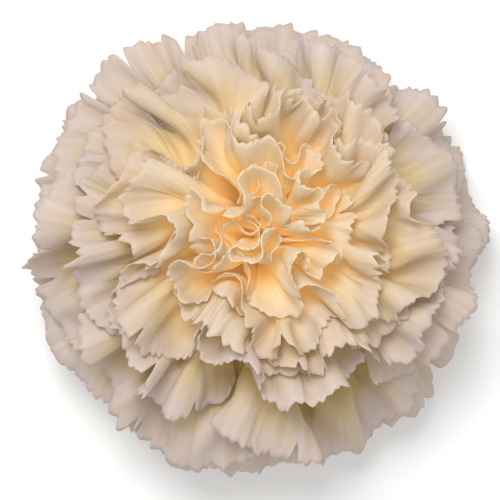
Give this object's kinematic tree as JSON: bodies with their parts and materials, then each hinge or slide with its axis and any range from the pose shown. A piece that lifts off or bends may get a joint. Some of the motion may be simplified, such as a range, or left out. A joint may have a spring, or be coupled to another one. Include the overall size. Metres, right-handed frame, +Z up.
{
  "type": "cut carnation",
  "caption": "Fully open double carnation bloom with ruffled, toothed petals, peach-cream at the heart and pinkish white at the rim, lying face up on its short stem stub.",
  "frame": {"origin": "on the surface that the bloom lies on, under the middle of its bounding box", "axes": "+Z up out of the bloom's face, which leans about 11 degrees towards an azimuth of 63 degrees from +X; +Y is the top of the bloom seen from above"},
  "size_m": [0.0732, 0.076, 0.0485],
  "materials": {
    "heart_petals": "thin translucent petal, warm peach yellow at the claw, cream at the toothed margin",
    "cream_petals": "thin translucent petal, yellow cream, paler at the margin, fine radial veins",
    "pale_petals": "thin translucent petal, pinkish white with a cream foot, fine radial veins",
    "calyx_green": "waxy grey green sepal tissue, faint lengthwise nerves",
    "stem_green": "waxy green stem, pale wet fibres on the cut face",
    "pistil_white": "soft white style on a pale green ovary"
  },
  "bodies": {
    "root": {"stem": "stem_green", "calyx": "calyx_green", "bract_1": "calyx_green", "bract_2": "calyx_green", "bract_3": "calyx_green", "bract_4": "calyx_green", "pistil": "pistil_white", "heart_petal_1": "heart_petals", "heart_petal_2": "heart_petals", "heart_petal_3": "heart_petals", "heart_petal_4": "heart_petals", "heart_petal_5": "heart_petals", "inner_petal_1": "heart_petals", "inner_petal_2": "heart_petals", "inner_petal_3": "heart_petals", "inner_petal_4": "heart_petals", "inner_petal_5": "heart_petals", "inner_petal_6": "heart_petals", "crown_petal_1": "cream_petals", "crown_petal_2": "cream_petals", "crown_petal_3": "cream_petals", "crown_petal_4": "cream_petals", "crown_petal_5": "cream_petals", "crown_petal_6": "cream_petals", "crown_petal_7": "cream_petals", "middle_petal_1": "cream_petals", "middle_petal_2": "cream_petals", "middle_petal_3": "cream_petals", "middle_petal_4": "cream_petals", "middle_petal_5": "cream_petals", "middle_petal_6": "cream_petals", "middle_petal_7": "cream_petals", "middle_petal_8": "cream_petals", "outer_petal_1": "pale_petals", "outer_petal_2": "pale_petals", "outer_petal_3": "pale_petals", "outer_petal_4": "pale_petals", "outer_petal_5": "pale_petals", "outer_petal_6": "pale_petals", "outer_petal_7": "pale_petals", "outer_petal_8": "pale_petals", "skirt_petal_1": "pale_petals", "skirt_petal_2": "pale_petals", "skirt_petal_3": "pale_petals", "skirt_petal_4": "pale_petals", "skirt_petal_5": "pale_petals", "skirt_petal_6": "pale_petals", "skirt_petal_7": "pale_petals", "guard_petal_1": "pale_petals", "guard_petal_2": "pale_petals", "guard_petal_3": "pale_petals", "guard_petal_4": "pale_petals", "guard_petal_5": "pale_petals", "guard_petal_6": "pale_petals"}
  },
  "joints": []
}
